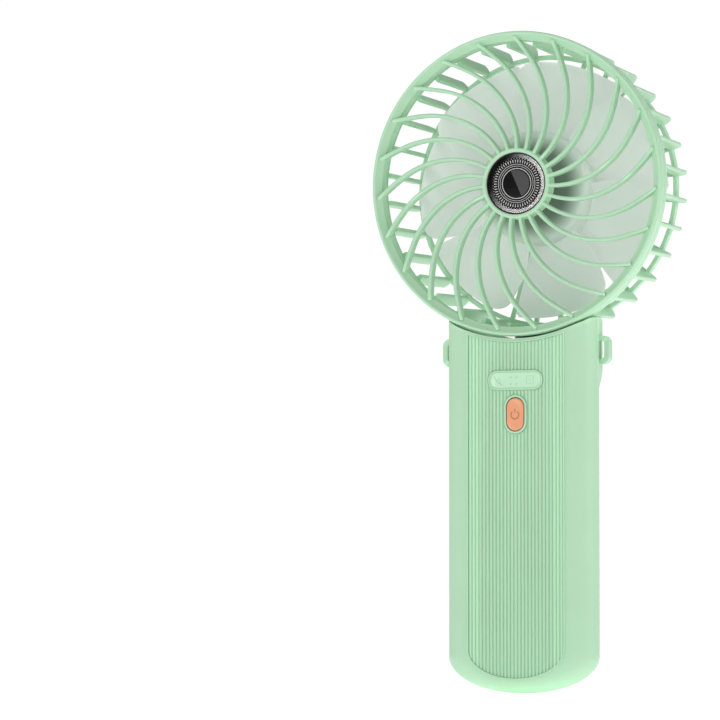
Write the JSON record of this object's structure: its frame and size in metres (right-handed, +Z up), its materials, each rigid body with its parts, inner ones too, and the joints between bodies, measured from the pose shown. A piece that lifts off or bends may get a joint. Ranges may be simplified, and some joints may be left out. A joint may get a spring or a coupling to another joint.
{
  "type": "handheld electric fan",
  "caption": "Folding handheld electric fan: round caged head with a spiral grille on a flat ribbed handle, with a hinge, a spinning impeller and a power button.",
  "frame": {"origin": "centre of the bounding box at the lowest point of the handle, fan standing upright", "axes": "+Z up along the handle to the head, -Y the front with the grille and the controls, +X to the right as seen from the front"},
  "size_m": [0.105, 0.04, 0.227],
  "materials": {
    "mint_shell": "satin moulded ABS, fine texture",
    "mint_cage": "satin moulded ABS",
    "blade_pc": "frosted translucent polycarbonate",
    "orange_button": "satin moulded ABS with an engraved symbol",
    "window_pc": "tinted window with faint icons",
    "black_gloss": "glossy black",
    "badge_metal": "silver and black engraved plate",
    "steel": "plain steel",
    "friction_pad": "acetal washer",
    "battery_wrap": "shrink wrap",
    "foam": "closed-cell foam",
    "circuit_board": "solder mask",
    "black_plastic": "moulded",
    "led": "clear epoxy",
    "wire_sheath": "silicone sheath",
    "copper_coil": "enamelled copper wire",
    "magnet": "sintered magnet"
  },
  "bodies": {
    "handle": {"front_shell": "mint_shell", "rear_shell": "mint_shell", "strap_loop_left": "mint_shell", "strap_loop_right": "mint_shell", "indicator_window": "window_pc", "hinge_pin": "steel", "hinge_washers": "friction_pad", "pin_clips": "steel", "battery_cell": "battery_wrap", "battery_pad": "foam", "battery_leads": "wire_sheath", "control_board": "circuit_board", "tact_switch": "black_plastic", "indicator_leds": "led", "charging_port": "steel", "charge_board": "circuit_board", "shell_screws": "steel"},
    "head": {"front_grille": "mint_cage", "rear_cage": "mint_cage", "badge_bezel": "black_gloss", "badge_plate": "badge_metal", "badge_lens": "black_gloss", "motor_base": "steel", "motor_screws": "steel", "motor_board": "circuit_board", "bearings": "steel", "stator_core": "steel", "stator_coils": "copper_coil", "rear_cover": "mint_cage"},
    "rotor": {"impeller": "blade_pc", "rotor_can": "steel", "magnet_ring": "magnet", "shaft": "steel", "shaft_clip": "steel"},
    "button": {"power_button": "orange_button", "switch_plunger": "black_plastic"}
  },
  "joints": [
    {"name": "head_fold", "type": "hinge", "parent": "handle", "child": "head", "pos_m": [0, 0.0086, 0.1155], "axis": [-1, 0, 0], "range_deg": [0, 90]},
    {"name": "rotor_spin", "type": "hinge", "parent": "head", "child": "rotor", "pos_m": [0, 0.0056, 0.1745], "axis": [0, -1, 0], "continuous": true},
    {"name": "power_press", "type": "slide", "parent": "handle", "child": "button", "axis": [0, 1, 0], "range_m": [0, 0.0005], "stiffness_N_per_m": 2000}
  ]
}
